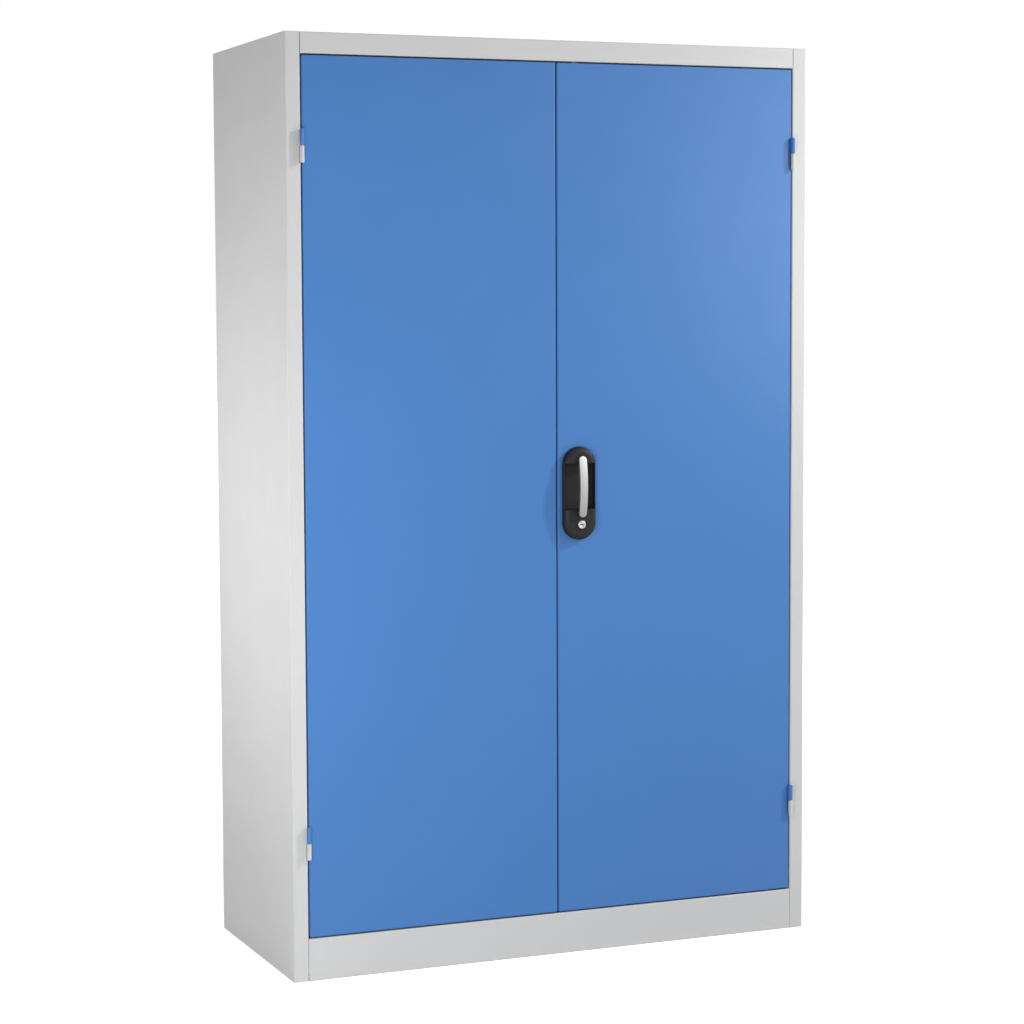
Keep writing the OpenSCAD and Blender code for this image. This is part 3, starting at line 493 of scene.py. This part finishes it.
def box_of(node):
    """Lowest and highest corner of a CAD node, as vectors."""
    low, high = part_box(node)
    return Vector(low), Vector(high)


def smooth(bm):
    for face in bm.faces:
        face.smooth = True


def strip_stations(length, width, along, around):
    """Height and half width of each station of a stadium, from its lower tip to its upper one."""
    radius = width / 2
    straight = length / 2 - radius
    arc = [(straight + radius * math.cos(a), radius * math.sin(a))
           for a in (math.pi / 2 * i / around for i in range(around + 1))]
    level = [(straight - 2 * straight * i / along, radius) for i in range(1, along)]
    upper = arc + level
    lower = [(-z, half) for z, half in reversed(arc)]
    return list(reversed(upper + lower))


def bowed_bar(length, width, thickness, bow, edge, along=36, around=14):
    """Bar with round ends and edges, bowed towards -Y, centred on the origin with its ends' backs at y 0."""
    bm = bmesh.new()
    rows = []
    for z, half in strip_stations(length, width, along, around):
        sides = (0.0,) if half < TOUCH else (-half, half)
        rows.append([bm.verts.new((x, 0.0, z)) for x in sides])
    for low, high in zip(rows, rows[1:]):
        bm.faces.new(low + high[::-1])
    front = bmesh.ops.extrude_face_region(bm, geom=bm.faces[:])
    bmesh.ops.translate(bm, verts=[v for v in front["geom"] if isinstance(v, bmesh.types.BMVert)],
                        vec=(0.0, -thickness, 0.0))
    bmesh.ops.recalc_face_normals(bm, faces=bm.faces[:])
    rims = [e for e in bm.edges if abs(e.calc_face_angle(0.0)) > SQUARE_RIM[0]]
    bmesh.ops.bevel(bm, geom=rims, offset=edge, segments=5, profile=0.5, affect="EDGES", material=-1,
                    clamp_overlap=True)
    chord = length / 2
    radius = (chord * chord + bow * bow) / (2 * bow)
    for vert in bm.verts:
        reach = radius - vert.co.y
        vert.co.y = radius - bow - math.sqrt(reach * reach - vert.co.z * vert.co.z)
    smooth(bm)
    return bm


def round_rims(bm, levels, pin, angles, radius, segments):
    """Rounds a knuckle's outward rims near these levels whose faces meet at an angle within the given two."""
    rims = []
    for edge in bm.edges:
        ends = [v.co for v in edge.verts]
        level = abs(ends[0].z - ends[1].z) < TOUCH
        near = all(min(abs(co.z - z) for z in levels) < KNUCKLE_END for co in ends)
        outer = all((co.xy - pin).length > PIN_CLEAR for co in ends)
        if level and near and outer and edge.is_convex and angles[0] < edge.calc_face_angle(0.0) < angles[1]:
            rims.append(edge)
    bmesh.ops.bevel(bm, geom=rims, offset=radius, segments=segments, profile=0.5, affect="EDGES", material=-1,
                    clamp_overlap=True)


def rounded_half(node, pin_node, settings):
    """Copy of a hinge half with the ends of its knuckle rounded."""
    bm = bmesh.new()
    bm.from_mesh(NODES[node].data)
    bmesh.ops.remove_doubles(bm, verts=bm.verts[:], dist=TOUCH)
    bmesh.ops.dissolve_limit(bm, angle_limit=FLAT, verts=bm.verts[:], edges=bm.edges[:])
    low, high = box_of(node)
    pin_low, pin_high = box_of(pin_node)
    pin = ((pin_low + pin_high) / 2).xy
    levels = (low.z, high.z)
    round_rims(bm, levels, pin, SQUARE_RIM, settings.rim, 4)
    round_rims(bm, levels, pin, CHAMFER_RIM, settings.tip, 3)
    smooth(bm)
    return bm


def new_piece(context, name, bm, place, material, body):
    """Object from a bmesh, with its place in its mesh, riding on a body."""
    bmesh.ops.translate(bm, verts=bm.verts[:], vec=place)
    mesh = bpy.data.meshes.new(name)
    bm.to_mesh(mesh)
    bm.free()
    mesh.materials.append(material)
    piece = bpy.data.objects.new(name, mesh)
    context.scene.collection.objects.link(piece)
    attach(piece, body)
    return piece


# ---- Studio ----

def add_area(context, name, place, aim, width, height, power):
    """Rectangular lamp at place, pointed at aim, that the camera doesn't see."""
    data = bpy.data.lights.new(name, "AREA")
    data.shape = "RECTANGLE"
    data.size = width
    data.size_y = height
    data.energy = power
    lamp = bpy.data.objects.new(name, data)
    lamp.location = place
    lamp.rotation_euler = (Vector(aim) - Vector(place)).to_track_quat("-Z", "Y").to_euler()
    lamp.visible_camera = False
    context.scene.collection.objects.link(lamp)


def light_world(context, studio):
    """Even light; the camera, mirrors and glass see plain white."""
    world = bpy.data.worlds.new("Studio")
    context.scene.world = world
    world.use_nodes = True
    world.node_tree.nodes.clear()
    t = Tree(world.node_tree)
    path = t.add("ShaderNodeLightPath").outputs
    direct = t.math("MAXIMUM", path["Is Camera Ray"], path["Is Transmission Ray"])
    shown = t.math("MAXIMUM", direct, path["Is Glossy Ray"])
    strength = t.remap(shown, 0.0, 1.0, studio.sky, 1.0)
    background = t.add("ShaderNodeBackground", {"Color": (1, 1, 1, 1), "Strength": strength})
    t.add("ShaderNodeOutputWorld", {"Surface": background.outputs["Background"]})


def floor_material(studio):
    """Pale floor that glows to white with distance where the camera or a mirror sees it."""
    material = bpy.data.materials.new("Studio Floor")
    material.use_nodes = True
    material.node_tree.nodes.clear()
    t = Tree(material.node_tree)
    path = t.add("ShaderNodeLightPath").outputs
    diffuse = t.add("ShaderNodeBsdfDiffuse", {"Color": tuple(studio.floor_colour) + (1,)})
    reach = t.add("ShaderNodeVectorMath", {0: t.place()}, operation="LENGTH").outputs["Value"]
    near = t.remap(path["Is Camera Ray"], 0.0, 1.0, MIRROR_GLOW, CAMERA_GLOW)
    strength = t.remap(reach, GLOW_START, GLOW_END, near, 1.0)
    glow = t.add("ShaderNodeEmission", {"Color": (1, 1, 1, 1), "Strength": strength})
    both = t.add("ShaderNodeAddShader", {0: diffuse.outputs[0], 1: glow.outputs[0]})
    shown = t.math("MAXIMUM", path["Is Camera Ray"], path["Is Glossy Ray"])
    mixed = t.add("ShaderNodeMixShader", {0: shown, 1: diffuse.outputs[0], 2: both.outputs[0]})
    t.add("ShaderNodeOutputMaterial", {"Surface": mixed.outputs[0]})
    return material


def lay_floor(context, studio):
    """Round floor that fades into the white background and keeps the cabinet's shadow."""
    bm = bmesh.new()
    bmesh.ops.create_circle(bm, cap_ends=True, segments=FLOOR_SEGMENTS, radius=FLOOR_RADIUS)
    mesh = bpy.data.meshes.new("Studio Floor")
    bm.to_mesh(mesh)
    bm.free()
    mesh.materials.append(floor_material(studio))
    floor = bpy.data.objects.new("studio_floor", mesh)
    context.scene.collection.objects.link(floor)


def place_camera(context):
    """Camera at the photograph's viewing angle."""
    data = bpy.data.cameras.new("Camera")
    data.sensor_width = CAMERA_SENSOR
    data.lens = CAMERA_LENS
    data.shift_x, data.shift_y = CAMERA_SHIFT
    camera = bpy.data.objects.new("Camera", data)
    yaw, pitch, roll = (math.radians(a) for a in (CAMERA_YAW, CAMERA_PITCH, CAMERA_ROLL))
    ahead = Vector((math.sin(yaw) * math.cos(pitch), math.cos(yaw) * math.cos(pitch), math.sin(pitch)))
    level = Vector((math.cos(yaw), -math.sin(yaw), 0.0))
    above = level.cross(ahead)
    right = math.cos(roll) * level + math.sin(roll) * above
    up = math.cos(roll) * above - math.sin(roll) * level
    turn = Matrix((right, up, -ahead)).transposed().to_4x4()
    camera.matrix_world = Matrix.Translation(CAMERA_PLACE) @ turn
    context.scene.collection.objects.link(camera)
    context.scene.camera = camera


# ---- Operators ----

class CABINET_OT_paint_body(bpy.types.Operator):
    """Paints the body panels and the frame halves of the hinges light grey"""
    bl_idname = "cabinet.paint_body"
    bl_label = "Paint Body"

    def execute(self, context):
        paint = context.scene.cabinet_paint
        dress(BODY_PAINTED, paint_material("Body Paint", paint.body_colour, paint, BODY_EDGE_COLOUR, BODY_ROUNDING))
        return {"FINISHED"}


class CABINET_OT_paint_doors(bpy.types.Operator):
    """Paints the doors, their stiffeners and hinge halves blue"""
    bl_idname = "cabinet.paint_doors"
    bl_label = "Paint Doors"

    def execute(self, context):
        paint = context.scene.cabinet_paint
        dress(DOOR_PAINTED, paint_material("Door Paint", paint.door_colour, paint, DOOR_EDGE_COLOUR, DOOR_ROUNDING))
        return {"FINISHED"}


class CABINET_OT_galvanise(bpy.types.Operator):
    """Gives the shelves and uprights a galvanised finish"""
    bl_idname = "cabinet.galvanise"
    bl_label = "Galvanise Shelves"

    def execute(self, context):
        metal = context.scene.cabinet_metal
        dress(GALVANISED, metal_material("Galvanised Sheet", metal.galvanised_colour, **GALVANISED_SHEET))
        return {"FINISHED"}


class CABINET_OT_plate_lock(bpy.types.Operator):
    """Gives the lock, pins and clips their plated finishes, and the plate, guides and buffers their black"""
    bl_idname = "cabinet.plate_lock"
    bl_label = "Plate Lock Parts"

    def execute(self, context):
        metal = context.scene.cabinet_metal
        plastic = context.scene.cabinet_plastic
        dress(ZINC_PLATED, metal_material("Zinc Plate", metal.zinc_colour, **ZINC_PLATE))
        dress(NICKEL_PLATED, metal_material("Nickel", metal.nickel_colour, **NICKEL_PLATE))
        dress(BLACK_MOULDED, moulded_material("Black Moulding", plastic.plate_colour, **BLACK_MOULDING))
        dress(RUBBER_MADE, moulded_material("Rubber", plastic.rubber_colour, **RUBBER_SKIN))
        return {"FINISHED"}


class CABINET_OT_round_hinges(bpy.types.Operator):
    """Rounds the ends of the hinges' knuckles, on copies of the frame's hinge halves"""
    bl_idname = "cabinet.round_hinges"
    bl_label = "Round Hinges"

    def execute(self, context):
        settings = context.scene.cabinet_hinge
        for place in HINGE_PLACES:
            door = place.split("_")[1] + "_door"
            for part, body, slot in (("frame", "cabinet", "body_paint"), ("door", door, "door_paint")):
                node = f"{place}_{part}_hinge"
                bm = rounded_half(node, f"{place}_hinge_pin", settings)
                material = NODES[node].data.materials[0]
                piece = new_piece(context, f"{place}_{part}_knuckle", bm, (0.0, 0.0, 0.0), material, body)
                piece.data.set_sharp_from_angle(angle=HINGE_SHARP)
                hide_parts(node)
        return {"FINISHED"}


class CABINET_OT_shape_lever(bpy.types.Operator):
    """Makes the smooth bowed lever in place of the frame's lever"""
    bl_idname = "cabinet.shape_lever"
    bl_label = "Shape Lever"

    def execute(self, context):
        lever = context.scene.cabinet_lever
        low, high = box_of("lever")
        bm = bowed_bar(high.z - low.z, high.x - low.x, lever.thickness, lever.bow, lever.edge)
        outer = min(v.co.y for v in bm.verts)
        place = ((low.x + high.x) / 2, low.y - outer, (low.z + high.z) / 2)
        material = metal_material("Lever Casting", context.scene.cabinet_metal.lever_colour, **LEVER_CASTING)
        # painted shade: the lever's colour is darkened towards its lower end
        paint_shade_downwards(material, low.z, high.z, LEVER_PAINTED_SHADE_LOW)
        piece = new_piece(context, "bowed_lever", bm, place, material, "lever")
        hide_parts("lever")
        return {"FINISHED"}


class CABINET_OT_set_studio(bpy.types.Operator):
    """Sets the floor, the lamps and the camera"""
    bl_idname = "cabinet.set_studio"
    bl_label = "Set Studio"

    def execute(self, context):
        studio = context.scene.cabinet_studio
        lay_floor(context, studio)
        light_world(context, studio)
        for name, power, place, aim, width, height in LAMPS:
            add_area(context, name, place, aim, width, height, getattr(studio, power))
        place_camera(context)
        context.scene.view_settings.view_transform = "Standard"
        return {"FINISHED"}


class CABINET_PT_sidebar(bpy.types.Panel):
    """Lists the cabinet's steps and settings"""
    bl_idname = "CABINET_PT_sidebar"
    bl_label = "Tool Cabinet"
    bl_space_type = "VIEW_3D"
    bl_region_type = "UI"
    bl_category = "Cabinet"

    def draw(self, context):
        scene = context.scene
        for step in STEPS:
            self.layout.operator(step.bl_idname)
        for group in GROUPS:
            settings = getattr(scene, group)
            box = self.layout.box()
            for key in settings.__annotations__:
                box.prop(settings, key)


GROUPS = {"cabinet_paint": CabinetPaint, "cabinet_metal": CabinetMetal, "cabinet_hinge": CabinetHinge,
          "cabinet_lever": CabinetLever, "cabinet_plastic": CabinetPlastic, "cabinet_studio": CabinetStudio}
STEPS = (CABINET_OT_paint_body, CABINET_OT_paint_doors, CABINET_OT_galvanise, CABINET_OT_plate_lock,
         CABINET_OT_round_hinges, CABINET_OT_shape_lever, CABINET_OT_set_studio)
CLASSES = (*GROUPS.values(), *STEPS, CABINET_PT_sidebar)


def register():
    for item in CLASSES:
        bpy.utils.register_class(item)
    for name, kind in GROUPS.items():
        setattr(bpy.types.Scene, name, PointerProperty(type=kind))


def unregister():
    for name in GROUPS:
        delattr(bpy.types.Scene, name)
    for item in reversed(CLASSES):
        bpy.utils.unregister_class(item)


def main():
    register()
    bpy.ops.cabinet.paint_body()
    bpy.ops.cabinet.paint_doors()
    bpy.ops.cabinet.galvanise()
    bpy.ops.cabinet.plate_lock()
    bpy.ops.cabinet.round_hinges()
    bpy.ops.cabinet.shape_lever()
    bpy.ops.cabinet.set_studio()


if __name__ == "__main__":
    main()
